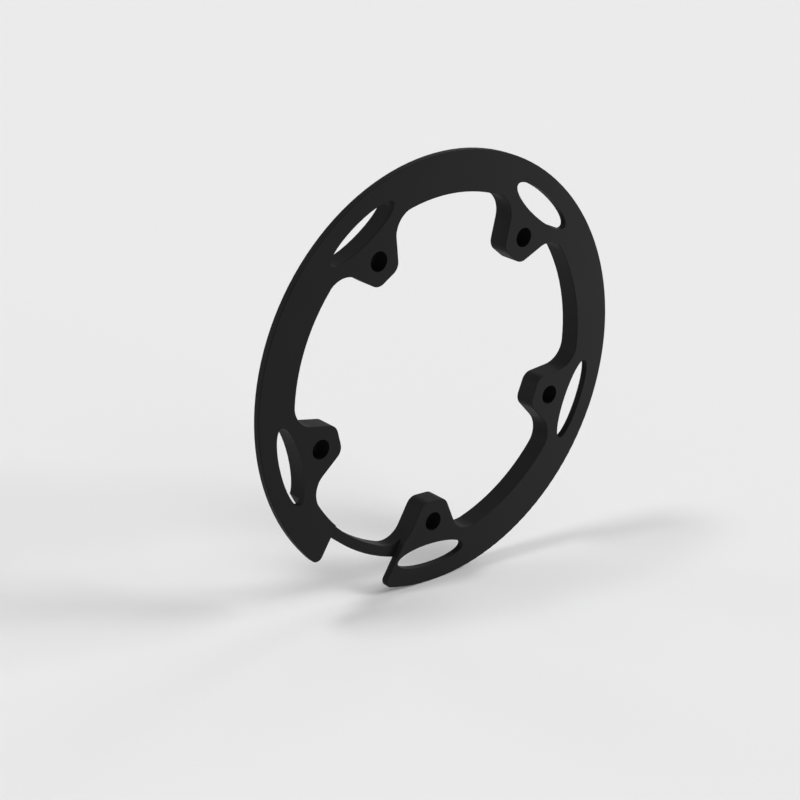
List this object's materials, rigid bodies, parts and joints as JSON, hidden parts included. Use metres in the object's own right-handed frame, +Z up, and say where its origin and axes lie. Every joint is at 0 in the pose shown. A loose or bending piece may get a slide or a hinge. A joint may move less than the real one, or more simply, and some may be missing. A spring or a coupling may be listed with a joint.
{
  "type": "bicycle chain guard",
  "caption": "Moulded ring that covers a chainring's teeth, with tabs for the chainring bolts, slots and a notch for the crank arm.",
  "frame": {"origin": "centre of the bolt circle, in the plane of the tabs' rear seating faces", "axes": "+Y inwards along the crank axis, towards the chainring; -Y is outside; +Z up, as the guard stands upright; +X to the right as seen from outside"},
  "size_m": [0.185, 0.009, 0.185],
  "materials": {
    "black_plastic": "moulded black plastic with a fine, even, satin surface"
  },
  "bodies": {
    "root": {"chain_guard": "black_plastic"}
  },
  "joints": []
}
